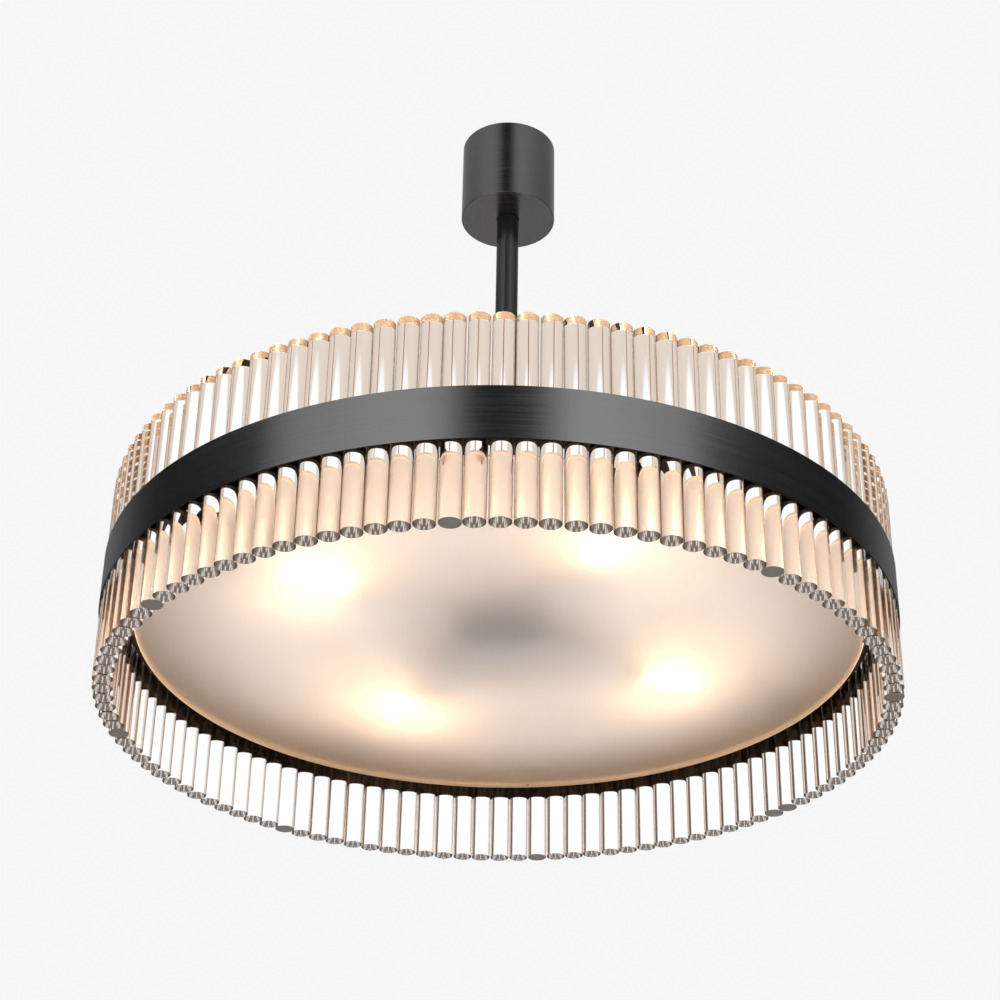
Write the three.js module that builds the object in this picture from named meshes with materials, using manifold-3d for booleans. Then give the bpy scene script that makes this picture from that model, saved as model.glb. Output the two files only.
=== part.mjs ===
// A drum chandelier: a ring of upright glass rods round a frosted disc, hung from a stem and a canopy.
// Millimetres, +Z up. The origin is the middle of the ceiling plate's top face, and the light hangs below.
import * as THREE from 'three';
import { mergeVertices } from 'three/addons/utils/BufferGeometryUtils.js';
import Module from 'manifold-3d';

const wasm = await Module();
wasm.setup();
const { Manifold, Mesh } = wasm;

// Gaps and overruns
const CLEARANCE = 0.3;
const OVERRUN = 2;
const RAIL_END_GAP = 1;

// The whole light: width of the drum, and height from the ceiling to the rods' lower ends
const DRUM_DIAMETER = 784;
const DROP = 701.5;

// Glass rods, hung in banks side by side, as thick as the drum leaves room for
const BANK_COUNT = 19;
const RODS_PER_BANK = 6;
const ROD_GAP = 0.97;
const ROD_LENGTH = 205;
const ROD_SIDES = 12;
const RAIL_BITE = 1;
const RAIL_INSET = 2;

// Outer band, and the inner ring that stands off from the rods on their studs
const BAND_HEIGHT = 53;
const BAND_THICKNESS = 1.2;
const BAND_BELOW_MIDDLE = 1.5;
const RING_THICKNESS = 5;
const STUD_STANDOFF = 2;

// Frosted disc with its brackets and screws
const DIFFUSER_THICKNESS = 3;
const DIFFUSER_RIM_GAP = 4.5;
const DIFFUSER_RING_GAP = 6;
const SCREW_COUNT = 2;
const FIRST_SCREW_ANGLE = 175;
const SCREW_EDGE_DISTANCE = 9;
const SCREW_RADIUS = 1;
const SCREW_HEAD_RADIUS = 1.7;
const SCREW_HEAD_HEIGHT = 2.4;
const SCREW_REACH = 8;
const BRACKET_WIDTH = 14;
const BRACKET_THICKNESS = 2;
const BRACKET_HEIGHT = 18;
const BRACKET_LIP = 7;

// Arms, lamp holders and lamps
const ARM_COUNT = 4;
const FIRST_ARM_ANGLE = 31;
const ARM_WIDTH = 10;
const ARM_HEIGHT = 12;
const ARM_INSERTION = 6;
const FOOT_WIDTH = 40;
const FOOT_THICKNESS = 2.5;
const HOLDER_INNER_RADIUS = 152;
const HOLDER_LENGTH = 22;
const HOLDER_WIDTH = 22;
const HOLDER_HEIGHT = 18;
const HOLDER_ROOM_BELOW = 5.5;
const TONGUE_WIDTH = 12;
const TONGUE_THICKNESS = 4;
const TONGUE_LENGTH = 10;
const LAMP_RADIUS = 8.5;
const LAMP_LENGTH = 62;
const LAMP_SIDES = 16;
const LAMP_DOME_STEPS = 4;

// Hub
const HUB_RADIUS = 48;
const HUB_WALL = 2.5;
const HUB_TOP_THICKNESS = 4;
const HUB_RISE = 17;
const HUB_SKIRT = 6;
const HUB_SIDES = 40;
const COVER_THICKNESS = 3;
const COVER_SPIGOT_HEIGHT = 2;
const POST_RADIUS = 4;
const POST_ANGLE = 76;
const POST_WALL_GAP = 4;
const COVER_SCREW_RADIUS = 1.5;
const COVER_SCREW_REACH = 12;
const COVER_SCREW_HEAD_RADIUS = 3.5;
const COVER_SCREW_HEAD_HEIGHT = 2.5;
const HUB_TERMINAL_LENGTH = 24;
const HUB_TERMINAL_DEPTH = 12;
const HUB_TERMINAL_HEIGHT = 11;

// Stem, with the collar and nut that clamp the hub
const STEM_RADIUS = 12;
const STEM_WALL = 2;
const STEM_SIDES = 32;
const STEM_END_BELOW_NUT = 2;
const NUT_RADIUS = 17;
const NUT_HEIGHT = 8;
const COLLAR_RADIUS = 17;
const COLLAR_HEIGHT = 10;
const CABLE_WINDOW_WIDTH = 9;
const CABLE_WINDOW_HEIGHT = 16;
const CABLE_WINDOW_GAP = 6;

// Ceiling plate, its socket, and what is fixed to it
const PLATE_RADIUS = 45;
const PLATE_THICKNESS = 3;
const SOCKET_WALL = 5.7;
const SOCKET_DEPTH = 20;
const PIN_RADIUS = 3;
const PIN_HEAD_RADIUS = 5;
const PIN_HEAD_HEIGHT = 3;
const SLOT_PLACE_RADIUS = 34;
const SLOT_RADIUS = 2.75;
const SLOT_TRAVEL = 6;
const CABLE_HOLE_RADIUS = 6;
const CABLE_HOLE_PLACE = 32;
const TERMINAL_LENGTH = 30;
const TERMINAL_DEPTH = 16;
const TERMINAL_HEIGHT = 15;
const TERMINAL_SOCKET_GAP = 5;
const TERMINAL_POLES = 3;
const TERMINAL_WELL_RADIUS = 2.4;
const TERMINAL_WELL_DEPTH = 7;
const EARTH_SCREW_RADIUS = 4;
const EARTH_SCREW_HEIGHT = 5;
const EARTH_SCREW_ANGLE = 135;

// Canopy, with the bush that grips the stem
const CANOPY_RADIUS = 51.5;
const CANOPY_HEIGHT = 97.5;
const CANOPY_WALL = 1.5;
const CANOPY_SIDES = 64;
const BUSH_WALL = 7;
const BUSH_HEIGHT = 10;

const ROUND_SIDES = 24;
const HOLE_SIDES = 12;

// Places worked out from the sizes
const FULL_TURN = Math.PI * 2;
const rodCount = BANK_COUNT * RODS_PER_BANK;
const rodStep = FULL_TURN / rodCount;
const rodReach = DRUM_DIAMETER / 2 - BAND_THICKNESS - CLEARANCE;
const rodRingRadius = (rodReach + ROD_GAP / 2) / (1 + rodStep / 2);
const rodRadius = rodReach - rodRingRadius;
const flatShare = Math.cos(rodStep / 2);
const rodBottom = -DROP;
const rodTop = rodBottom + ROD_LENGTH;
const rodMiddle = rodBottom + ROD_LENGTH / 2;

const bandInner = rodRingRadius + rodRadius + CLEARANCE;
const bandOuter = bandInner + BAND_THICKNESS;
const bandBottom = rodMiddle - BAND_BELOW_MIDDLE - BAND_HEIGHT / 2;
const ringOuter = rodRingRadius - rodRadius - STUD_STANDOFF;
const ringInner = ringOuter - RING_THICKNESS;
const ringFlat = ringInner * flatShare;
const ringHeight = HOLDER_ROOM_BELOW + HOLDER_HEIGHT + CLEARANCE + ARM_HEIGHT;
const ringBottom = rodMiddle - ringHeight / 2;
const ringTop = ringBottom + ringHeight;

const diffuserRadius = ringInner - DIFFUSER_RIM_GAP;
const diffuserTop = ringBottom - DIFFUSER_RING_GAP;
const diffuserBottom = diffuserTop - DIFFUSER_THICKNESS;
const screwPlace = diffuserRadius - SCREW_EDGE_DISTANCE;

const armTop = ringTop;
const armBottom = armTop - ARM_HEIGHT;
const armMiddle = armTop - ARM_HEIGHT / 2;
const holderTop = armBottom - CLEARANCE;
const lampLevel = holderTop - HOLDER_HEIGHT / 2;
const holderOuterRadius = HOLDER_INNER_RADIUS + HOLDER_LENGTH;

const hubTop = armTop + HUB_RISE;
const hubCeiling = hubTop - HUB_TOP_THICKNESS;
const hubBottom = armBottom - HUB_SKIRT;
const hubInner = HUB_RADIUS - HUB_WALL;
const coverTop = hubBottom - CLEARANCE;
const coverBottom = coverTop - COVER_THICKNESS;
const postPlace = hubInner - POST_WALL_GAP - POST_RADIUS;

const nutTop = hubCeiling - CLEARANCE;
const nutBottom = nutTop - NUT_HEIGHT;
const stemBottom = nutBottom - STEM_END_BELOW_NUT;
const stemHole = STEM_RADIUS + CLEARANCE;

const plateBottom = -PLATE_THICKNESS;
const socketRadius = stemHole + SOCKET_WALL;
const socketBottom = plateBottom - SOCKET_DEPTH;
const stemTop = plateBottom - CLEARANCE;
const pinLevel = plateBottom - SOCKET_DEPTH / 2;

const canopyTop = -CLEARANCE;
const canopyBottom = canopyTop - CANOPY_HEIGHT;
const canopyInner = CANOPY_RADIUS - CANOPY_WALL;
const bushBottom = canopyBottom + CANOPY_WALL + CLEARANCE;

// Materials
function finish(color, metalness, roughness) {
  return new THREE.MeshStandardMaterial({ color, metalness, roughness });
}

const darkMetal = finish(0x3a3a3b, 0.9, 0.4);
const blackMetal = finish(0x161717, 0.6, 0.5);
const zincSteel = finish(0x9a9da0, 0.9, 0.4);
const brass = finish(0xc79a4b, 1, 0.3);
const ceramic = finish(0xe9e5dc, 0, 0.6);
const nylon = finish(0xd9d9d4, 0, 0.6);
const lampWhite = finish(0xfff0d8, 0, 0.4);
const frosted = finish(0xe6d3c6, 0, 0.7);
const glass = finish(0xdfe3e2, 0, 0.05);
glass.transparent = true;
glass.opacity = 0.5;

// Turns a closed geometry into a solid, and back
function solidOf(geometry) {
  const bare = geometry.clone();
  bare.deleteAttribute('normal');
  bare.deleteAttribute('uv');
  const merged = mergeVertices(bare);
  const vertProperties = new Float32Array(merged.attributes.position.array);
  const triVerts = new Uint32Array(merged.index.array);
  return new Manifold(new Mesh({ numProp: 3, vertProperties, triVerts }));
}

function geometryOf(solid) {
  const mesh = solid.getMesh();
  const geometry = new THREE.BufferGeometry();
  geometry.setAttribute('position', new THREE.BufferAttribute(mesh.vertProperties, 3));
  geometry.setIndex(new THREE.BufferAttribute(mesh.triVerts, 1));
  geometry.computeVertexNormals();
  return geometry;
}

// An upright cylinder between two heights, with a corner towards -Y
function upright(radius, bottom, top, sides) {
  const geometry = new THREE.CylinderGeometry(radius, radius, top - bottom, sides);
  geometry.rotateX(Math.PI / 2);
  geometry.translate(0, 0, (bottom + top) / 2);
  return solidOf(geometry);
}

// A cylinder that lies along Y between two places
function lying(radius, from, to, sides) {
  const geometry = new THREE.CylinderGeometry(radius, radius, to - from, sides);
  geometry.translate(0, (from + to) / 2, 0);
  return solidOf(geometry);
}

function block(width, depth, height) {
  return solidOf(new THREE.BoxGeometry(width, depth, height));
}

// The cutter for an upright hole between two heights, which it overruns
function bore(radius, bottom, top, sides) {
  return upright(radius, bottom - OVERRUN, top + OVERRUN, sides);
}

function pipe(outer, inner, bottom, top, sides) {
  return upright(outer, bottom, top, sides).subtract(bore(inner, bottom, top, sides));
}

// The angle is counted from -Y towards +X, in radians
function atAngle(radius, angle) {
  return [radius * Math.sin(angle), -radius * Math.cos(angle)];
}

const radians = THREE.MathUtils.degToRad;
const twoDigits = (index) => String(index + 1).padStart(2, '0');
const group = new THREE.Group();

function addPiece(name, solid, material, angle = 0) {
  const piece = new THREE.Mesh(geometryOf(solid), material);
  piece.name = name;
  piece.rotation.z = angle;
  group.add(piece);
}

// Glass rods. Each bank is six rods on the short rail that stands for their studs
function railOutline() {
  const half = (RODS_PER_BANK / 2) * rodStep - RAIL_END_GAP / 2 / ringOuter;
  const angles = [-half];
  for (let i = 0; i < RODS_PER_BANK; i += 1) {
    angles.push((i - (RODS_PER_BANK - 1) / 2) * rodStep);
  }
  angles.push(half);
  const back = ringOuter + CLEARANCE;
  const front = rodRingRadius - rodRadius + RAIL_BITE;
  const points = angles.map((angle) => new THREE.Vector2(...atAngle(front, angle)));
  for (const angle of angles.reverse()) {
    points.push(new THREE.Vector2(...atAngle(back, angle)));
  }
  return new THREE.Shape(points);
}

function rodBank() {
  const railHeight = ringHeight - RAIL_INSET * 2;
  const rail = new THREE.ExtrudeGeometry(railOutline(), { depth: railHeight, bevelEnabled: false });
  rail.translate(0, 0, rodMiddle - railHeight / 2);
  let bank = solidOf(rail);
  for (let i = 0; i < RODS_PER_BANK; i += 1) {
    const angle = (i - (RODS_PER_BANK - 1) / 2) * rodStep;
    const rod = upright(rodRadius, rodBottom, rodTop, ROD_SIDES).translate([0, -rodRingRadius, 0]);
    bank = bank.add(rod.rotate([0, 0, THREE.MathUtils.radToDeg(angle)]));
  }
  return bank;
}

function addRods() {
  const bank = rodBank();
  for (let i = 0; i < BANK_COUNT; i += 1) {
    const angle = (i * RODS_PER_BANK + (RODS_PER_BANK - 1) / 2) * rodStep;
    addPiece(`glass_rods_${twoDigits(i)}`, bank, glass, angle);
  }
}

function addRings() {
  const band = pipe(bandOuter, bandInner, bandBottom, bandBottom + BAND_HEIGHT, rodCount);
  addPiece('outer_band', band, darkMetal);
  addPiece('inner_ring', pipe(ringOuter, ringInner, ringBottom, ringTop, rodCount), blackMetal);
}

// Frosted disc, which screws hold up to brackets on the inner ring
function screwAngle(index) {
  return radians(FIRST_SCREW_ANGLE) + (index / SCREW_COUNT) * FULL_TURN;
}

function diffuser() {
  let disc = upright(diffuserRadius, diffuserBottom, diffuserTop, rodCount);
  for (let i = 0; i < SCREW_COUNT; i += 1) {
    const [x, y] = atAngle(screwPlace, screwAngle(i));
    const hole = bore(SCREW_RADIUS + CLEARANCE, diffuserBottom, diffuserTop, HOLE_SIDES);
    disc = disc.subtract(hole.translate([x, y, 0]));
  }
  return disc;
}

function diffuserBracket() {
  const footBottom = diffuserTop + CLEARANCE;
  const back = Math.sqrt(ringFlat ** 2 - (BRACKET_WIDTH / 2) ** 2) - CLEARANCE;
  const footLength = back - screwPlace + BRACKET_LIP;
  const foot = block(BRACKET_WIDTH, footLength, BRACKET_THICKNESS);
  const leg = block(BRACKET_WIDTH, BRACKET_THICKNESS, BRACKET_HEIGHT);
  const placedFoot = foot.translate([0, -back + footLength / 2, footBottom + BRACKET_THICKNESS / 2]);
  const placedLeg = leg.translate([0, -back + BRACKET_THICKNESS / 2, footBottom + BRACKET_HEIGHT / 2]);
  const hole = bore(SCREW_RADIUS + CLEARANCE, footBottom, footBottom + BRACKET_THICKNESS, HOLE_SIDES);
  return placedFoot.add(placedLeg).subtract(hole.translate([0, -screwPlace, 0]));
}

function diffuserScrew() {
  const headTop = diffuserBottom - CLEARANCE;
  const head = upright(SCREW_HEAD_RADIUS, headTop - SCREW_HEAD_HEIGHT, headTop, ROUND_SIDES);
  const shankTop = diffuserTop + SCREW_REACH;
  const shank = upright(SCREW_RADIUS, headTop - SCREW_HEAD_HEIGHT / 2, shankTop, HOLE_SIDES);
  return head.add(shank).translate([0, -screwPlace, 0]);
}

function addDiffuser() {
  addPiece('diffuser', diffuser(), frosted);
  const bracket = diffuserBracket();
  const screw = diffuserScrew();
  for (let i = 0; i < SCREW_COUNT; i += 1) {
    addPiece(`diffuser_bracket_${i + 1}`, bracket, blackMetal, screwAngle(i));
    addPiece(`diffuser_screw_${i + 1}`, screw, brass, screwAngle(i));
  }
}

// Arms from the hub to the inner ring, each with a lamp holder and a lamp under it
function arm() {
  const footFace = Math.sqrt(ringFlat ** 2 - (FOOT_WIDTH / 2) ** 2) - CLEARANCE;
  const start = hubInner - ARM_INSERTION;
  const length = footFace - start;
  const bar = block(ARM_WIDTH, length, ARM_HEIGHT).translate([0, -(start + footFace) / 2, 0]);
  const foot = block(FOOT_WIDTH, FOOT_THICKNESS, ARM_HEIGHT);
  return bar.add(foot.translate([0, FOOT_THICKNESS / 2 - footFace, 0])).translate([0, 0, armMiddle]);
}

function lampHolder() {
  const body = block(HOLDER_WIDTH, HOLDER_LENGTH, HOLDER_HEIGHT);
  const slotWidth = TONGUE_WIDTH + CLEARANCE * 2;
  const slotLength = TONGUE_LENGTH + CLEARANCE;
  const slot = block(slotWidth, slotLength + OVERRUN, TONGUE_THICKNESS + CLEARANCE * 2);
  const slotMiddle = (slotLength - OVERRUN) / 2 - holderOuterRadius;
  const placed = body.translate([0, HOLDER_LENGTH / 2 - holderOuterRadius, lampLevel]);
  return placed.subtract(slot.translate([0, slotMiddle, lampLevel]));
}

function lamp() {
  const domeStart = LAMP_LENGTH - LAMP_RADIUS;
  const points = [new THREE.Vector2(0, 0), new THREE.Vector2(LAMP_RADIUS, 0)];
  for (let i = 0; i < LAMP_DOME_STEPS; i += 1) {
    const turn = (i / LAMP_DOME_STEPS) * (Math.PI / 2);
    points.push(new THREE.Vector2(LAMP_RADIUS * Math.cos(turn), domeStart + LAMP_RADIUS * Math.sin(turn)));
  }
  points.push(new THREE.Vector2(0, LAMP_LENGTH));
  const bulb = new THREE.LatheGeometry(points, LAMP_SIDES);
  bulb.rotateX(Math.PI);
  const tongue = block(TONGUE_WIDTH, TONGUE_LENGTH, TONGUE_THICKNESS);
  const joined = solidOf(bulb).add(tongue.translate([0, TONGUE_LENGTH / 2 - CLEARANCE, 0]));
  return joined.translate([0, -holderOuterRadius - CLEARANCE, lampLevel]);
}

function addArms() {
  for (let i = 0; i < ARM_COUNT; i += 1) {
    const angle = radians(FIRST_ARM_ANGLE) + (i / ARM_COUNT) * FULL_TURN;
    addPiece(`arm_${i + 1}`, arm(), blackMetal, angle);
    addPiece(`lamp_holder_${i + 1}`, lampHolder(), ceramic, angle);
    addPiece(`lamp_${i + 1}`, lamp(), lampWhite, angle);
  }
}

// Hub, a cup that opens downwards, with windows for the arms and posts for the cover's screws
function hubBody() {
  const shell = upright(HUB_RADIUS, hubBottom, hubTop, HUB_SIDES);
  const hollow = upright(hubInner, hubBottom - OVERRUN, hubCeiling, HUB_SIDES);
  const stemWay = bore(stemHole, hubCeiling, hubTop, STEM_SIDES);
  let hub = shell.subtract(hollow).subtract(stemWay);
  for (let i = 0; i < ARM_COUNT; i += 1) {
    const angle = FIRST_ARM_ANGLE + (i / ARM_COUNT) * 360;
    const window = block(ARM_WIDTH + CLEARANCE * 2, HUB_RADIUS, ARM_HEIGHT + CLEARANCE * 2);
    hub = hub.subtract(window.translate([0, -HUB_RADIUS, armMiddle]).rotate([0, 0, angle]));
  }
  for (const side of [0, 1]) {
    const [x, y] = atAngle(postPlace, radians(POST_ANGLE) + side * Math.PI);
    const post = upright(POST_RADIUS, hubBottom + COVER_SPIGOT_HEIGHT, hubCeiling + CLEARANCE, HOLE_SIDES);
    const threadTop = hubBottom + COVER_SCREW_REACH;
    const thread = upright(COVER_SCREW_RADIUS + CLEARANCE, hubBottom - OVERRUN, threadTop, HOLE_SIDES);
    hub = hub.add(post.translate([x, y, 0])).subtract(thread.translate([x, y, 0]));
  }
  return hub;
}

function hubCover() {
  let cover = upright(HUB_RADIUS, coverBottom, coverTop, HUB_SIDES);
  const spigotTop = coverTop + COVER_SPIGOT_HEIGHT;
  const spigotRadius = hubInner - CLEARANCE * 2;
  cover = cover.add(pipe(spigotRadius, spigotRadius - HUB_WALL, coverBottom, spigotTop, HUB_SIDES));
  for (const side of [0, 1]) {
    const [x, y] = atAngle(postPlace, radians(POST_ANGLE) + side * Math.PI);
    const hole = bore(COVER_SCREW_RADIUS + CLEARANCE, coverBottom, coverTop, HOLE_SIDES);
    cover = cover.subtract(hole.translate([x, y, 0]));
  }
  return cover;
}

function coverScrew() {
  const headTop = coverBottom - CLEARANCE;
  const headBottom = headTop - COVER_SCREW_HEAD_HEIGHT;
  const head = upright(COVER_SCREW_HEAD_RADIUS, headBottom, headTop, HOLE_SIDES);
  const shankTop = hubBottom + COVER_SCREW_REACH - CLEARANCE;
  const shank = upright(COVER_SCREW_RADIUS, headBottom + CLEARANCE, shankTop, HOLE_SIDES);
  return head.add(shank).translate([0, -postPlace, 0]);
}

function hubTerminal() {
  const place = (NUT_RADIUS + hubInner) / 2;
  const body = block(HUB_TERMINAL_LENGTH, HUB_TERMINAL_DEPTH, HUB_TERMINAL_HEIGHT);
  return body.translate([0, -place, hubCeiling - CLEARANCE - HUB_TERMINAL_HEIGHT / 2]);
}

function addHub() {
  addPiece('hub_body', hubBody(), blackMetal);
  addPiece('hub_cover', hubCover(), blackMetal);
  for (const side of [0, 1]) {
    addPiece(`cover_screw_${side + 1}`, coverScrew(), zincSteel, radians(POST_ANGLE) + side * Math.PI);
  }
  addPiece('hub_terminal', hubTerminal(), nylon, radians(POST_ANGLE) + Math.PI / 2);
}

// Stem, with its clamping collar above the hub and its nut inside
function stem() {
  const tube = pipe(STEM_RADIUS, STEM_RADIUS - STEM_WALL, stemBottom, stemTop, STEM_SIDES);
  const pinHole = lying(PIN_RADIUS + CLEARANCE, -stemHole, stemHole, HOLE_SIDES);
  const window = block(CABLE_WINDOW_WIDTH, STEM_RADIUS * 2, CABLE_WINDOW_HEIGHT);
  const windowLevel = socketBottom - CABLE_WINDOW_GAP - CABLE_WINDOW_HEIGHT / 2;
  const drilled = tube.subtract(pinHole.translate([0, 0, pinLevel]));
  return drilled.subtract(window.translate([0, STEM_RADIUS, windowLevel]));
}

function addStem() {
  addPiece('stem', stem(), darkMetal);
  const collarBottom = hubTop + CLEARANCE;
  const collar = pipe(COLLAR_RADIUS, stemHole, collarBottom, collarBottom + COLLAR_HEIGHT, STEM_SIDES);
  addPiece('stem_collar', collar, darkMetal);
  const nutBody = upright(NUT_RADIUS, nutBottom, nutTop, 6);
  addPiece('stem_nut', nutBody.subtract(bore(stemHole, nutBottom, nutTop, STEM_SIDES)), zincSteel);
}

// Ceiling plate with the socket that the stem hangs in
function ceilingPlate() {
  const disc = upright(PLATE_RADIUS, plateBottom, 0, CANOPY_SIDES);
  const socket = pipe(socketRadius, stemHole, socketBottom, plateBottom + CLEARANCE, STEM_SIDES);
  let plate = disc.add(socket);
  const pinReach = socketRadius + OVERRUN;
  const pinHole = lying(PIN_RADIUS + CLEARANCE, -pinReach, pinReach, HOLE_SIDES);
  plate = plate.subtract(pinHole.translate([0, 0, pinLevel]));
  for (const side of [-1, 1]) {
    const end = bore(SLOT_RADIUS, plateBottom, 0, HOLE_SIDES);
    const middle = block(SLOT_TRAVEL, SLOT_RADIUS * 2, PLATE_THICKNESS + OVERRUN * 2);
    const ends = end.translate([-SLOT_TRAVEL / 2, 0, 0]).add(end.translate([SLOT_TRAVEL / 2, 0, 0]));
    const slot = ends.add(middle.translate([0, 0, plateBottom / 2]));
    plate = plate.subtract(slot.translate([side * SLOT_PLACE_RADIUS, 0, 0]));
  }
  const cableHole = bore(CABLE_HOLE_RADIUS, plateBottom, 0, HOLE_SIDES);
  return plate.subtract(cableHole.translate([0, CABLE_HOLE_PLACE, 0]));
}

function hangerPin() {
  const reach = socketRadius + CLEARANCE;
  const shank = lying(PIN_RADIUS, -reach - PIN_HEAD_HEIGHT / 2, reach, HOLE_SIDES);
  const head = lying(PIN_HEAD_RADIUS, -reach - PIN_HEAD_HEIGHT, -reach, ROUND_SIDES);
  return shank.add(head).translate([0, 0, pinLevel]);
}

function terminalBlock() {
  const pitch = TERMINAL_LENGTH / TERMINAL_POLES;
  let terminal = block(TERMINAL_LENGTH, TERMINAL_DEPTH, TERMINAL_HEIGHT);
  for (let i = 0; i < TERMINAL_POLES; i += 1) {
    const x = (i - (TERMINAL_POLES - 1) / 2) * pitch;
    const bottom = -TERMINAL_HEIGHT / 2;
    const well = upright(TERMINAL_WELL_RADIUS, bottom - OVERRUN, bottom + TERMINAL_WELL_DEPTH, HOLE_SIDES);
    terminal = terminal.subtract(well.translate([x, 0, 0]));
  }
  const place = socketRadius + PIN_HEAD_HEIGHT + TERMINAL_SOCKET_GAP + TERMINAL_DEPTH / 2;
  return terminal.translate([0, -place, plateBottom - CLEARANCE - TERMINAL_HEIGHT / 2]);
}

function addCeilingFixing() {
  addPiece('ceiling_plate', ceilingPlate(), zincSteel);
  addPiece('hanger_pin', hangerPin(), zincSteel);
  addPiece('terminal_block', terminalBlock(), nylon);
  const screwTop = plateBottom - CLEARANCE;
  const earthScrew = upright(EARTH_SCREW_RADIUS, screwTop - EARTH_SCREW_HEIGHT, screwTop, 6);
  const placed = earthScrew.translate([0, -SLOT_PLACE_RADIUS, 0]);
  addPiece('earth_screw', placed, brass, radians(EARTH_SCREW_ANGLE));
}

function addCanopy() {
  const shell = upright(CANOPY_RADIUS, canopyBottom, canopyTop, CANOPY_SIDES);
  const hollow = upright(canopyInner, canopyBottom + CANOPY_WALL, canopyTop + OVERRUN, CANOPY_SIDES);
  const stemWay = bore(stemHole, canopyBottom, canopyBottom + CANOPY_WALL, STEM_SIDES);
  addPiece('canopy', shell.subtract(hollow).subtract(stemWay), darkMetal);
  const bushTop = bushBottom + BUSH_HEIGHT;
  addPiece('canopy_bush', pipe(stemHole + BUSH_WALL, stemHole, bushBottom, bushTop, STEM_SIDES), nylon);
}

addCeilingFixing();
addCanopy();
addStem();
addHub();
addArms();
addRings();
addRods();
addDiffuser();

export default group;
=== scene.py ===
# The dressed model of a drum chandelier: glass rods round a frosted disc, on a stem with a canopy.
# Metres, +Z up. The origin is the middle of the ceiling plate's top face.
import math
import random

import bpy
import bmesh
from mathutils import Matrix, Vector


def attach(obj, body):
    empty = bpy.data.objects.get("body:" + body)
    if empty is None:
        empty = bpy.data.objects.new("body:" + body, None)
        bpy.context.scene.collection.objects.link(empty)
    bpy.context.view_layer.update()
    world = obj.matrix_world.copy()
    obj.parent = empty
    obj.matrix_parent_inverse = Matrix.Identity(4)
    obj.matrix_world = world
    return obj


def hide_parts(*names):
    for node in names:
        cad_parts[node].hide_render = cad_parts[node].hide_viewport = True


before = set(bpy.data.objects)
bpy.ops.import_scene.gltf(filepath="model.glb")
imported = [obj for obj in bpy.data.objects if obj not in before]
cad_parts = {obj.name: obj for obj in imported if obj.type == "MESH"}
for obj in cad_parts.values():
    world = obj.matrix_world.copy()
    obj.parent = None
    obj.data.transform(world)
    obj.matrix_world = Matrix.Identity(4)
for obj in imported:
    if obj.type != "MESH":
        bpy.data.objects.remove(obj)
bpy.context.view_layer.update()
draw = random.Random(19)

MM = 0.001
TURN = math.tau

# Sizes that the CAD model has too
DRUM_RADIUS = 392 * MM
BAND_THICKNESS = 1.2 * MM
CLEARANCE = 0.3 * MM
ROD_COUNT = 114
RODS_PER_BANK = 6
ROD_GAP = 0.97 * MM
ROD_BOTTOM = -701.5 * MM
ROD_TOP = -496.5 * MM
BAND_BOTTOM = -627 * MM
BAND_TOP = -574 * MM
RING_STANDOFF = 2 * MM
RING_THICKNESS = 5 * MM
RING_BOTTOM = -616.9 * MM
RING_TOP = -581.1 * MM
DISC_RIM_GAP = 4.5 * MM
DISC_TOP = -622.9 * MM
DISC_BOTTOM = -625.9 * MM
CANOPY_RADIUS = 51.5 * MM
CANOPY_WALL = 1.5 * MM
CANOPY_TOP = -0.3 * MM
CANOPY_BOTTOM = -97.8 * MM
STEM_HOLE = 12.3 * MM

rod_step = TURN / ROD_COUNT
rod_reach = DRUM_RADIUS - BAND_THICKNESS - CLEARANCE
rod_ring_radius = (rod_reach + ROD_GAP / 2) / (1 + rod_step / 2)
rod_radius = rod_reach - rod_ring_radius
ring_outer = rod_ring_radius - rod_radius - RING_STANDOFF
ring_inner = ring_outer - RING_THICKNESS
disc_radius = ring_inner - DISC_RIM_GAP


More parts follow.
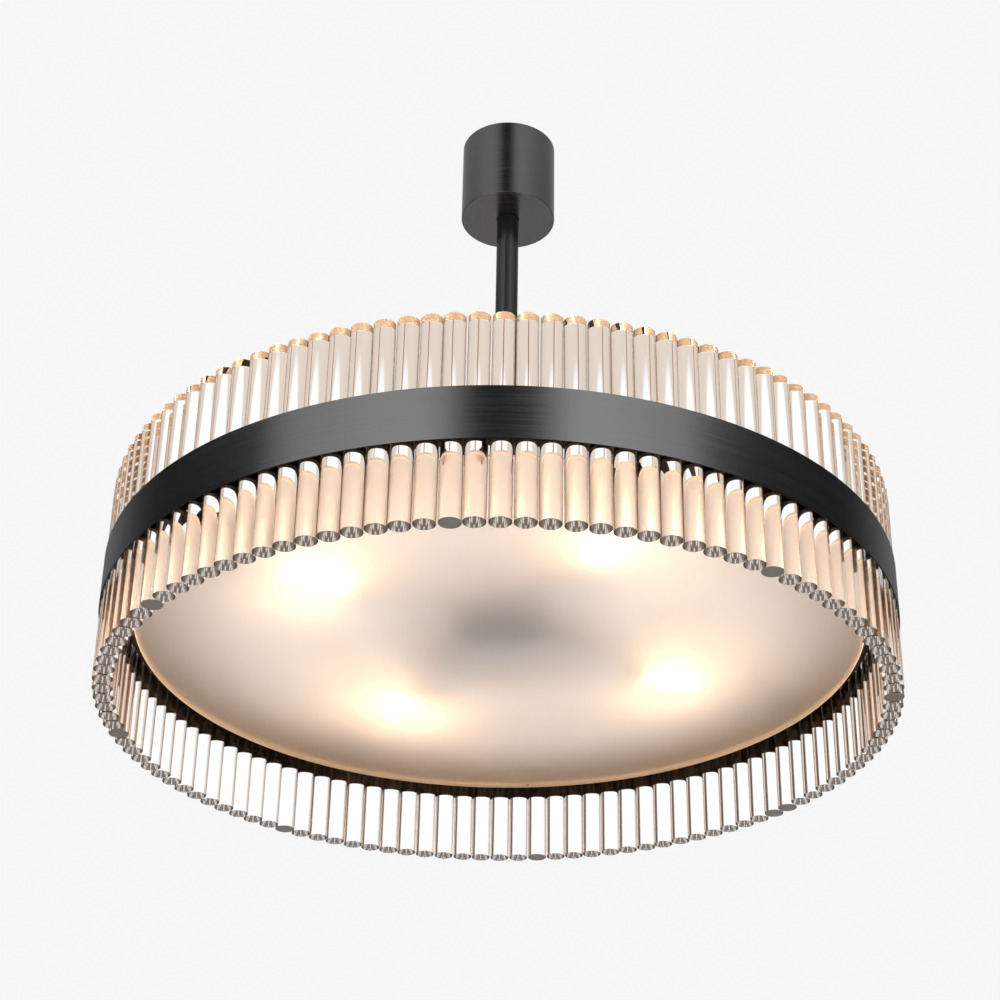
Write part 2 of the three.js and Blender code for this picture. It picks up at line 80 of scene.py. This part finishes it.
# Small tools for shader nodes
class Shader:
    """The node tree of one material or world, which starts empty."""

    def __init__(self, owner):
        owner.use_nodes = True
        self.tree = owner.node_tree
        self.tree.nodes.clear()

    def node(self, kind, **settings):
        made = self.tree.nodes.new(kind)
        for name, value in settings.items():
            setattr(made, name, value)
        return made

    def feed(self, socket, value):
        """Joins a node's output to a socket, or sets the socket to a value."""
        if isinstance(value, bpy.types.NodeSocket):
            self.tree.links.new(value, socket)
        elif value is not None:
            socket.default_value = value

    def calc(self, operation, *values):
        made = self.node("ShaderNodeMath", operation=operation)
        for socket, value in zip(made.inputs, values):
            self.feed(socket, value)
        return made.outputs[0]

    def total(self, first, *others):
        for other in others:
            first = self.calc("ADD", first, other)
        return first

    def times(self, first, *others):
        for other in others:
            first = self.calc("MULTIPLY", first, other)
        return first

    def smooth(self, value, low, high, start=0.0, end=1.0):
        """Goes smoothly from start to end while value goes from low to high."""
        made = self.node("ShaderNodeMapRange", interpolation_type="SMOOTHSTEP")
        for socket, given in zip(made.inputs, (value, low, high, start, end)):
            self.feed(socket, given)
        return made.outputs[0]

    def past(self, faces, start=0.0, end=1.0):
        """Goes from start to end once a ray has crossed more than that many glass faces."""
        crossed = self.node("ShaderNodeLightPath").outputs["Transmission Depth"]
        return self.smooth(crossed, faces + 0.2, faces + 0.8, start, end)

    def blend(self, share, first, second):
        made = self.node("ShaderNodeMix", data_type="RGBA")
        self.feed(made.inputs[0], share)
        self.feed(made.inputs[6], first)
        self.feed(made.inputs[7], second)
        return made.outputs[2]

    def place(self):
        """The point's place on the object, as separate x, y and z."""
        source = self.node("ShaderNodeTexCoord").outputs["Object"]
        return self.split(source)

    def split(self, vector):
        made = self.node("ShaderNodeSeparateXYZ")
        self.feed(made.inputs[0], vector)
        return made.outputs

    def join(self, x, y, z):
        made = self.node("ShaderNodeCombineXYZ")
        for socket, value in zip(made.inputs, (x, y, z)):
            self.feed(socket, value)
        return made.outputs[0]

    def noise(self, vector, scale, detail=2.0, roughness=0.5):
        made = self.node("ShaderNodeTexNoise")
        self.feed(made.inputs["Vector"], vector)
        self.feed(made.inputs["Scale"], scale)
        self.feed(made.inputs["Detail"], detail)
        self.feed(made.inputs["Roughness"], roughness)
        return made.outputs[0]


def material(name, color=None, **inputs):
    """A new material with one Principled shader. Returns the material, its Shader and the Principled node."""
    made = bpy.data.materials.new(name)
    shader = Shader(made)
    surface = shader.node("ShaderNodeBsdfPrincipled")
    out = shader.node("ShaderNodeOutputMaterial")
    shader.feed(out.inputs["Surface"], surface.outputs[0])
    if color is not None:
        surface.inputs["Base Color"].default_value = (*color, 1.0)
    for key, value in inputs.items():
        surface.inputs[key.replace("_", " ")].default_value = value
    return made, shader, surface


# Shapes
def mesh_object(name, mesh, finish, body, nodes=()):
    made = bpy.data.objects.new(name, mesh)
    bpy.context.scene.collection.objects.link(made)
    if not mesh.materials:
        mesh.materials.append(finish)
    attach(made, body)
    if nodes:
        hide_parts(*nodes)
    return made


# How far a holding point stands from its corner, in corner radii
HOLD = 1.5


def rounded(outline, radius, steps=3):
    """An outline of (r, z) points with its corners rounded off, apart from those on the axis.

    A holding point on each side of a corner keeps the flat stretches between corners flat in shading too."""
    points = []
    count = len(outline)
    for i, corner in enumerate(outline):
        here = Vector(corner)
        if corner[0] <= 0:
            points.append(tuple(here))
            continue
        before = (Vector(outline[i - 1]) - here).normalized()
        after = (Vector(outline[(i + 1) % count]) - here).normalized()
        points.append(tuple(here + before * radius * HOLD))
        for k in range(steps + 1):
            t = k / steps
            start, end = here + before * radius, here + after * radius
            points.append(tuple((1 - t) ** 2 * start + 2 * t * (1 - t) * here + t ** 2 * end))
        points.append(tuple(here + after * radius * HOLD))
    return points


def lathe_mesh(name, outline, segments, closed=True):
    """Turns an outline of (r, z) points round the Z axis. A closed outline goes round a ring's section."""
    mesh = bpy.data.meshes.new(name)
    work = bmesh.new()
    rows = []
    for r, z in outline:
        if r <= 0:
            rows.append([work.verts.new((0, 0, z))])
            continue
        row = []
        for k in range(segments):
            turn = TURN * k / segments
            row.append(work.verts.new((r * math.sin(turn), -r * math.cos(turn), z)))
        rows.append(row)
    pairs = list(zip(rows, rows[1:]))
    if closed:
        pairs.append((rows[-1], rows[0]))
    for low, high in pairs:
        for k in range(segments):
            n = (k + 1) % segments
            corners = [low[k % len(low)], low[n % len(low)], high[n % len(high)], high[k % len(high)]]
            unique = list(dict.fromkeys(corners))
            if len(unique) > 2:
                work.faces.new(unique)
    bmesh.ops.recalc_face_normals(work, faces=work.faces)
    work.to_mesh(mesh)
    work.free()
    for face in mesh.polygons:
        face.use_smooth = True
    return mesh


def sharpen(mesh, degrees):
    """Marks edges sharper than that angle, so that flat faces keep their shading."""
    mesh.set_sharp_from_angle(angle=math.radians(degrees))
    return mesh


def lathe(name, outline, segments, finish, body, nodes=(), sharp=None):
    mesh = lathe_mesh(name, outline, segments)
    if sharp:
        sharpen(mesh, sharp)
    return mesh_object(name, mesh, finish, body, nodes)


def at_angle(radius, degrees, z=0.0):
    """A point at an angle counted from -Y towards +X."""
    turn = math.radians(degrees)
    return Vector((radius * math.sin(turn), -radius * math.cos(turn), z))


# Glass
glass, _, glass_surface = material(
    "clear_glass", (0.985, 0.985, 0.98), Roughness=0.0, IOR=1.5, Transmission_Weight=1.0)
# The glass's reflections are tinted copper: a painted warm reflection in place of the lamps' light.
glass_surface.inputs["Specular Tint"].default_value = (0.55, 0.33, 0.2, 1.0)
# The polished bottom ends are greyed to half, a painted shade that darkens the rods' bottoms.
shaded_rod_end, _, _ = material(
    "polished_rod_end", (0.5, 0.48, 0.46), Roughness=0.02, IOR=1.5, Transmission_Weight=1.0)
ground, _, _ = material(
    "ground_glass", (0.25, 0.25, 0.24), Roughness=0.55, IOR=1.5, Transmission_Weight=0.4)


# Brushed metals: fine scratches round the piece, and a second color where glass lies in front, which is
# painted warm light from the lamps
ROUND_GRAIN = (9.0, 2600.0)
UPRIGHT_GRAIN = (160.0, 6.0)
STEM_PAINTED_LIGHT = (0.5, 0.38, 0.34, 1.0)


def brushed(name, color, roughness, streak=0.35, upright=False, painted_light_in_glass=None):
    made, shader, surface = material(name, color, Metallic=1.0, Roughness=roughness)
    x, y, z = shader.place()
    angle = shader.calc("ARCTAN2", x, y)
    radius = shader.calc("SQRT", shader.total(shader.times(x, x), shader.times(y, y)))
    coarse, fine = ROUND_GRAIN
    across = shader.times(shader.total(z, radius), fine)
    along = shader.join(shader.times(x, coarse), shader.times(y, coarse), across)
    if upright:
        fine, coarse = UPRIGHT_GRAIN
        along = shader.join(shader.times(angle, fine), shader.times(z, coarse), 0.0)
    grain = shader.noise(along, 1.0, 3.0, 0.65)
    rough = shader.smooth(grain, 0.25, 0.75, roughness * (1 - streak), roughness * (1 + streak))
    shader.feed(surface.inputs["Roughness"], rough)
    tone = shader.smooth(grain, 0.2, 0.8, 0.9, 1.09)
    tinted = shader.node("ShaderNodeVectorMath", operation="SCALE")
    tinted.inputs[0].default_value = color
    shader.feed(tinted.inputs["Scale"], tone)
    tinted_color = tinted.outputs[0]
    # Seen through glass, the metal takes a painted warm-lit color.
    if painted_light_in_glass:
        tinted_color = shader.blend(shader.past(0), tinted_color, painted_light_in_glass)
    shader.feed(surface.inputs["Base Color"], tinted_color)
    bump = shader.node("ShaderNodeBump")
    bump.inputs["Strength"].default_value = 0.06
    bump.inputs["Distance"].default_value = 0.0002
    shader.feed(bump.inputs["Height"], grain)
    shader.feed(surface.inputs["Normal"], bump.outputs[0])
    return made


gunmetal = brushed("brushed_gunmetal", (0.25, 0.25, 0.252), 0.19)
canopy_metal = brushed("brushed_canopy_metal", (0.15, 0.15, 0.151), 0.22)
stem_metal = brushed(
    "stem_metal", (0.09, 0.09, 0.091), 0.3, upright=True, painted_light_in_glass=STEM_PAINTED_LIGHT)
black, _, _ = material("black_metal", (0.004, 0.0033, 0.003), Roughness=0.5, Specular_IOR_Level=0.15)
zinc, _, _ = material("zinc_steel", (0.55, 0.56, 0.57), Metallic=1.0, Roughness=0.38)
brass, _, _ = material("brass", (0.78, 0.47, 0.17), Metallic=1.0, Roughness=0.22)
ceramic, _, _ = material("ceramic", (0.82, 0.79, 0.72), Roughness=0.35)
nylon, _, _ = material("nylon", (0.78, 0.78, 0.75), Roughness=0.55)


# The lamps' glow, and a painted glow on the disc's rim
def glowing(name, color, strength, base):
    made, _, surface = material(name, base, Roughness=0.35)
    surface.inputs["Emission Color"].default_value = (*color, 1.0)
    surface.inputs["Emission Strength"].default_value = strength
    return made


lamp_glow = glowing("lamp_opal_lit", (1.0, 0.67, 0.38), 250.0, (0.9, 0.86, 0.8))
painted_rim_glow = glowing("disc_rim_painted_glow", (1.0, 0.62, 0.28), 1.1, (0.8, 0.6, 0.45))


# The frosted disc, with painted light: a soft glowing ring, and more glow where one rod covers the disc
RING_FADE_IN = (0.04, 0.14)
RING_FADE_OUT = (0.22, 0.345)
RING_GLOW = 0.10
ROD_GLOW = 0.18
frosted, frosted_shader, frosted_surface = material(
    "frosted_disc", (1.0, 0.94, 0.91), Roughness=0.72, IOR=1.5, Transmission_Weight=0.95)
frosted_surface.inputs["Emission Color"].default_value = (1.0, 0.87, 0.81, 1.0)
disc_x, disc_y, _ = frosted_shader.place()
disc_r = frosted_shader.calc("SQRT", frosted_shader.total(
    frosted_shader.times(disc_x, disc_x), frosted_shader.times(disc_y, disc_y)))
painted_ring_glow = frosted_shader.times(
    frosted_shader.smooth(disc_r, *RING_FADE_IN),
    frosted_shader.smooth(disc_r, *RING_FADE_OUT, RING_GLOW, 0.0))
painted_rod_glow = frosted_shader.times(frosted_shader.past(1, 0.0, ROD_GLOW), frosted_shader.past(2, 1.0, 0.0))
painted_disc_glow = frosted_shader.total(painted_ring_glow, painted_rod_glow)
frosted_shader.feed(frosted_surface.inputs["Emission Strength"], painted_disc_glow)
clear_top, _, _ = material(
    "disc_top", (1.0, 0.96, 0.93), Roughness=0.0, IOR=1.5, Transmission_Weight=1.0)


# Canopy, a cup that opens towards the ceiling
EDGE_BEVEL = 0.5 * MM
CANOPY_SEGMENTS = 160
DRUM_SEGMENTS = 360
SHARP_EDGE = 50
canopy_outline = rounded(
    [(STEM_HOLE, CANOPY_BOTTOM), (CANOPY_RADIUS, CANOPY_BOTTOM), (CANOPY_RADIUS, CANOPY_TOP),
     (CANOPY_RADIUS - CANOPY_WALL, CANOPY_TOP), (CANOPY_RADIUS - CANOPY_WALL, CANOPY_BOTTOM + CANOPY_WALL),
     (STEM_HOLE, CANOPY_BOTTOM + CANOPY_WALL)], EDGE_BEVEL)
lathe("canopy_cup", canopy_outline, CANOPY_SEGMENTS, canopy_metal, "canopy_body",
      ["canopy"], sharp=SHARP_EDGE)


# Outer band and inner ring
def ring_section(inner, outer, low, high, radius):
    return rounded([(inner, low), (outer, low), (outer, high), (inner, high)], radius)


BAND_BEVEL = 0.35 * MM
PAINTED_SHADE_LIP = 0.4 * MM
BLACK_DEPTH = 0.8 * BAND_THICKNESS
band_outline = ring_section(DRUM_RADIUS - BAND_THICKNESS, DRUM_RADIUS, BAND_BOTTOM, BAND_TOP, BAND_BEVEL)
band_mesh = sharpen(lathe_mesh("band", band_outline, DRUM_SEGMENTS), SHARP_EDGE)
band_mesh.materials.append(gunmetal)
band_mesh.materials.append(black)
# The inner face is black; the bottom lip is black too, as painted shade that hides the edge's highlight.
for face in band_mesh.polygons:
    inside = face.center.xy.length < DRUM_RADIUS - BLACK_DEPTH
    if inside or face.center.z < BAND_BOTTOM + PAINTED_SHADE_LIP:
        face.material_index = 1
mesh_object("band", band_mesh, gunmetal, "frame_body", ["outer_band"])
lathe("stud_ring", ring_section(ring_inner, ring_outer, RING_BOTTOM, RING_TOP, EDGE_BEVEL),
      DRUM_SEGMENTS, black, "frame_body", ["inner_ring"], sharp=SHARP_EDGE)

# Glass rods, hung a little unevenly, with brass studs to the inner ring at two heights
ROD_BEVEL = 0.3 * MM
ROD_SEGMENTS = 48
ROD_SHARP = 30
GROUND_RODS = {112, 12, 55, 40, 41, 69, 97, 26, 83}
STUD_RADIUS = 1.5 * MM
STUD_BEVEL = 0.15 * MM
STUD_SEGMENTS = 16
STUD_SHARP = 40
STUD_LEVELS = (-614 * MM, -584 * MM)
STUD_BITE = 0.6 * MM
MOST_TILT = math.radians(0.22)
MOST_SHIFT = 0.2 * MM

half = (ROD_TOP - ROD_BOTTOM) / 2
rod_middle = (ROD_BOTTOM + ROD_TOP) / 2
rod_outline = rounded([(0, -half), (rod_radius, -half), (rod_radius, half), (0, half)], ROD_BEVEL)


def rod_mesh(name, is_ground):
    mesh = sharpen(lathe_mesh(name, rod_outline, ROD_SEGMENTS, closed=False), ROD_SHARP)
    mesh.materials.append(glass)
    mesh.materials.append(ground if is_ground else shaded_rod_end)
    for face in mesh.polygons:
        if face.center.z < -half + ROD_BEVEL:
            face.material_index = 1
    return mesh


polished_rod = rod_mesh("polished_rod", False)
ground_rod = rod_mesh("ground_rod", True)


def stud_mesh():
    """One stud that lies along Y, from the ring's outer face into the rod."""
    length = RING_STANDOFF + STUD_BITE
    outline = rounded([(0, 0), (STUD_RADIUS, 0), (STUD_RADIUS, length), (0, length)], STUD_BEVEL)
    mesh = lathe_mesh("rod_stud", outline, STUD_SEGMENTS, closed=False)
    mesh.transform(Matrix.Rotation(math.pi / 2, 4, "X"))
    return sharpen(mesh, STUD_SHARP)


stud_shape = stud_mesh()
for index in range(ROD_COUNT):
    angle = math.degrees(index * rod_step)
    bank = f"glass_rods_{index // RODS_PER_BANK + 1:02d}"
    shape = ground_rod if index in GROUND_RODS else polished_rod
    rod = bpy.data.objects.new(f"glass_rod_{index + 1:03d}", shape)
    bpy.context.scene.collection.objects.link(rod)
    sideways = math.radians(angle) + draw.uniform(-1, 1) * MOST_SHIFT / rod_ring_radius
    middle = at_angle(rod_ring_radius, math.degrees(sideways), rod_middle)
    lean = draw.uniform(-1, 1) * MOST_TILT
    turned = Matrix.Rotation(sideways, 4, "Z") @ Matrix.Rotation(lean, 4, "Y")
    rod.matrix_world = Matrix.Translation(middle) @ turned
    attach(rod, "frame_body")
    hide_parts(bank)
    for level, height in enumerate(STUD_LEVELS):
        stud = bpy.data.objects.new(f"rod_stud_{index + 1:03d}_{level + 1}", stud_shape)
        bpy.context.scene.collection.objects.link(stud)
        if not stud_shape.materials:
            stud_shape.materials.append(brass)
        face = Matrix.Translation(at_angle(ring_outer, angle, height))
        stud.matrix_world = face @ Matrix.Rotation(math.radians(angle), 4, "Z")
        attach(stud, "frame_body")
        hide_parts(bank)

# Frosted disc
DISC_BEVEL = 0.6 * MM
DISC_SEGMENTS = 240
TOP_SKIN = 0.1 * MM
disc_outline = rounded(
    [(0, DISC_BOTTOM), (disc_radius, DISC_BOTTOM), (disc_radius, DISC_TOP), (0, DISC_TOP)], DISC_BEVEL)
disc_mesh = sharpen(lathe_mesh("frosted_disc", disc_outline, DISC_SEGMENTS, closed=False), SHARP_EDGE)
disc_mesh.materials.append(frosted)
disc_mesh.materials.append(painted_rim_glow)
disc_mesh.materials.append(clear_top)
# The rim's lower bevel gets a painted copper glow; the top face is clear glass.
for face in disc_mesh.polygons:
    at_rim = face.center.xy.length > disc_radius - DISC_BEVEL * HOLD
    if at_rim and face.center.z < DISC_BOTTOM + DISC_BEVEL:
        face.material_index = 1
    elif face.center.z > DISC_TOP - TOP_SKIN:
        face.material_index = 2
mesh_object("frosted_disc", disc_mesh, frosted, "diffuser_body", ["diffuser"])


# Finishes for the CAD nodes that stay
NODE_SHARP = 35
KEPT = {"arm_": black, "hub_body": black, "hub_cover": black, "diffuser_bracket_": black,
        "diffuser_screw_": brass, "lamp_holder_": ceramic, "lamp_": lamp_glow, "cover_screw_": zinc,
        "hub_terminal": nylon, "stem": stem_metal, "stem_collar": stem_metal, "stem_nut": zinc,
        "ceiling_plate": zinc, "hanger_pin": zinc, "terminal_block": nylon, "earth_screw": brass,
        "canopy_bush": nylon}


def finish_for(name):
    fits = [key for key in KEPT if name == key or (key.endswith("_") and name.startswith(key))]
    return KEPT[max(fits, key=len)] if fits else None


for name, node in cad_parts.items():
    if node.hide_render:
        continue
    finish = finish_for(name)
    if finish is None:
        raise SystemExit(f"no finish for {name}")
    for slot_index in range(len(node.material_slots)):
        node.material_slots[slot_index].material = finish
    for face in node.data.polygons:
        face.use_smooth = True
    node.data.set_sharp_from_angle(angle=math.radians(NODE_SHARP))

# Studio floor, pale, and a warm painted light for rays that have crossed four glass faces or more, which the
# rods' top ends show as copper
FLOOR_LEVEL = -2.4
FLOOR_REACH = 12.0
FLOOR_CORNERS = 96
PALE_PAPER = (0.8, 0.8, 0.79, 1.0)
CAP_COPPER_LIGHT = (0.95, 0.56, 0.26, 1.0)
floor_mesh = bpy.data.meshes.new("floor")
floor_edge = [at_angle(FLOOR_REACH, 360 * k / FLOOR_CORNERS, FLOOR_LEVEL) for k in range(FLOOR_CORNERS)]
floor_mesh.from_pydata(floor_edge, [], [range(FLOOR_CORNERS)])
floor = bpy.data.objects.new("floor", floor_mesh)
bpy.context.scene.collection.objects.link(floor)
floor_finish, floor_shader, floor_surface = material("floor_paper", Roughness=0.9)
floor_and_cap_light = floor_shader.blend(floor_shader.past(3), PALE_PAPER, CAP_COPPER_LIGHT)
floor_shader.feed(floor_surface.inputs["Base Color"], floor_and_cap_light)
floor_mesh.materials.append(floor_finish)

# Studio world, which shows each kind of ray its own picture
BACKDROP = 0.925
WALL_SLOPE = 0.667
WALL_EDGE = 0.012
GREIGE = (0.80, 0.69, 0.60, 1.0)
WHITE = (1.04, 1.04, 1.05, 1.0)
SIDE_BROWN = (0.27, 0.14, 0.085, 1.0)
BACK_GREY = (0.2, 0.16, 0.13, 1.0)
STUDIO = (0.75, 0.75, 0.74, 1.0)
COPPER = (0.75, 0.38, 0.2, 1.0)
WALL_LEFT_END = -50.0
WALL_RIGHT_END = 33.0
WALL_FADE = 3.0
PAST_LEFT = (0.36, 0.29, 0.25, 1.0)
PAST_RIGHT = (0.13, 0.095, 0.08, 1.0)
LEFT_RIGHT = (-0.2, 0.2)
BEHIND_ASIDE = (-0.5, -0.1)
ASIDE_AHEAD = (0.1, 0.5)
LOW_LIGHTS = 0.56
HIGH_LIGHTS = 0.60
# Bearings in degrees from the camera's side, as start and end of each change
GAP_EDGE = (6.0, 21.0)
LIGHT_FALL = (18.0, 62.0)
LIGHT_END = (58.0, 76.0)
RIGHT_END = (50.0, 64.0)
BACK_WALL = (108.0, 150.0)
BACK_MIDDLE = (160.0, 180.0)
LIGHT_FAR_LEVEL = 0.6
RIGHT_END_LEVEL = 0.2
BACK_WALL_LEVEL = 0.16
BACK_MIDDLE_SHARE = 0.35
DARK_LEVEL = 0.03
HIGH_TURN = 8.0
HIGH_GAP_EDGE = (4.0, 32.0)
HIGH_FALL = (60.0, 140.0)
HIGH_NEAR_LEVEL = 0.66
HIGH_FAR_LEVEL = 0.36
HIGH_DARK_LEVEL = 0.04
world = bpy.data.worlds.new("studio")
bpy.context.scene.world = world
world.cycles.sampling_method = "NONE"
sky = Shader(world)
direction = sky.node("ShaderNodeTexCoord").outputs["Generated"]
wx, wy, wz = sky.split(direction)

# What the glass shows: the wall ahead, up to its edge, and dimmer sides
rise = sky.calc("DIVIDE", wz, sky.calc("MAXIMUM", wy, 0.0001))
above = sky.smooth(rise, WALL_SLOPE - WALL_EDGE, WALL_SLOPE + WALL_EDGE)
heading = sky.times(sky.calc("ARCTAN2", wx, wy), 180 / math.pi)
left_part = sky.smooth(heading, WALL_LEFT_END - WALL_FADE, WALL_LEFT_END + WALL_FADE)
right_part = sky.smooth(heading, WALL_RIGHT_END - WALL_FADE, WALL_RIGHT_END + WALL_FADE, 1.0, 0.0)
past_wall = sky.blend(sky.smooth(wx, *LEFT_RIGHT), PAST_LEFT, PAST_RIGHT)
wall_ahead = sky.blend(sky.times(left_part, right_part), past_wall, WHITE)
ahead = sky.blend(above, wall_ahead, GREIGE)
aside = sky.blend(sky.smooth(wy, *BEHIND_ASIDE), BACK_GREY, SIDE_BROWN)
seen_in_glass = sky.blend(sky.smooth(wy, *ASIDE_AHEAD), aside, ahead)

# What the metals show: two long soft lights, a dark gap between them, and dark sides
side = sky.times(sky.calc("ARCTAN2", wx, sky.times(wy, -1.0)), 180 / math.pi)
bearing = sky.calc("ABSOLUTE", side)
gap = sky.smooth(bearing, *GAP_EDGE)
fall = sky.smooth(bearing, *LIGHT_FALL, 1.0, LIGHT_FAR_LEVEL)
end = sky.smooth(bearing, *LIGHT_END, 1.0, 0.0)
right_end = sky.smooth(side, *RIGHT_END, 1.0, RIGHT_END_LEVEL)
back_wall = sky.smooth(bearing, *BACK_WALL, 0.0, BACK_WALL_LEVEL)
behind = sky.times(back_wall, sky.smooth(bearing, *BACK_MIDDLE, 1.0, BACK_MIDDLE_SHARE))
low = sky.total(sky.times(gap, fall, end, right_end), DARK_LEVEL, behind)
high_bearing = sky.calc("ABSOLUTE", sky.total(side, HIGH_TURN))
high_gap = sky.smooth(high_bearing, *HIGH_GAP_EDGE)
high_fall = sky.smooth(high_bearing, *HIGH_FALL, HIGH_NEAR_LEVEL, HIGH_FAR_LEVEL)
high = sky.total(sky.times(high_gap, high_fall), HIGH_DARK_LEVEL)
metal_level = sky.blend(sky.smooth(wz, LOW_LIGHTS, HIGH_LIGHTS), low, high)

path = sky.node("ShaderNodeLightPath").outputs
metal_level = sky.blend(sky.past(0), metal_level, COPPER)
mirrored = sky.times(path["Is Glossy Ray"], sky.calc("SUBTRACT", 1.0, path["Is Transmission Ray"]))
colors = sky.blend(mirrored, seen_in_glass, metal_level)
colors = sky.blend(path["Is Diffuse Ray"], colors, STUDIO)
colors = sky.blend(path["Is Camera Ray"], colors, (BACKDROP, BACKDROP, BACKDROP, 1.0))
lit = sky.node("ShaderNodeBackground")
sky.feed(lit.inputs["Color"], colors)
world_out = sky.node("ShaderNodeOutputWorld")
sky.feed(world_out.inputs["Surface"], lit.outputs[0])

# Camera, fitted to the photo
CAMERA_PLACE = (0.0, -1.94352, -1.59142)
CAMERA_YAW = math.radians(1.9262)
CAMERA_PITCH = math.radians(30.6926)
CAMERA_ROLL = math.radians(-0.0485)
CAMERA_ROUND = math.radians(0.3198)
CAMERA_FOCUS = 2.18416
CAMERA_SHIFT = (-0.06678, -0.01678)
SENSOR = 36.0

level_reach = math.cos(CAMERA_PITCH)
forward = Vector((
    math.sin(CAMERA_YAW) * level_reach, math.cos(CAMERA_YAW) * level_reach, math.sin(CAMERA_PITCH)))
right = Vector((math.cos(CAMERA_YAW), -math.sin(CAMERA_YAW), 0.0))
up = right.cross(forward)
rolled_right = math.cos(CAMERA_ROLL) * right + math.sin(CAMERA_ROLL) * up
rolled_up = -math.sin(CAMERA_ROLL) * right + math.cos(CAMERA_ROLL) * up
pose = Matrix((rolled_right, rolled_up, -forward)).transposed().to_4x4()
pose.translation = Vector(CAMERA_PLACE)
camera_data = bpy.data.cameras.new("camera")
camera_data.sensor_width = SENSOR
camera_data.lens = CAMERA_FOCUS * SENSOR
camera_data.shift_x, camera_data.shift_y = CAMERA_SHIFT
camera_data.clip_start = 0.01
camera = bpy.data.objects.new("camera", camera_data)
bpy.context.scene.collection.objects.link(camera)
camera.matrix_world = Matrix.Rotation(CAMERA_ROUND, 4, "Z") @ pose
bpy.context.scene.camera = camera

scene = bpy.context.scene
scene.view_settings.view_transform = "Standard"
scene.cycles.max_bounces = 20
scene.cycles.transmission_bounces = 16
scene.cycles.glossy_bounces = 12
scene.cycles.diffuse_bounces = 3
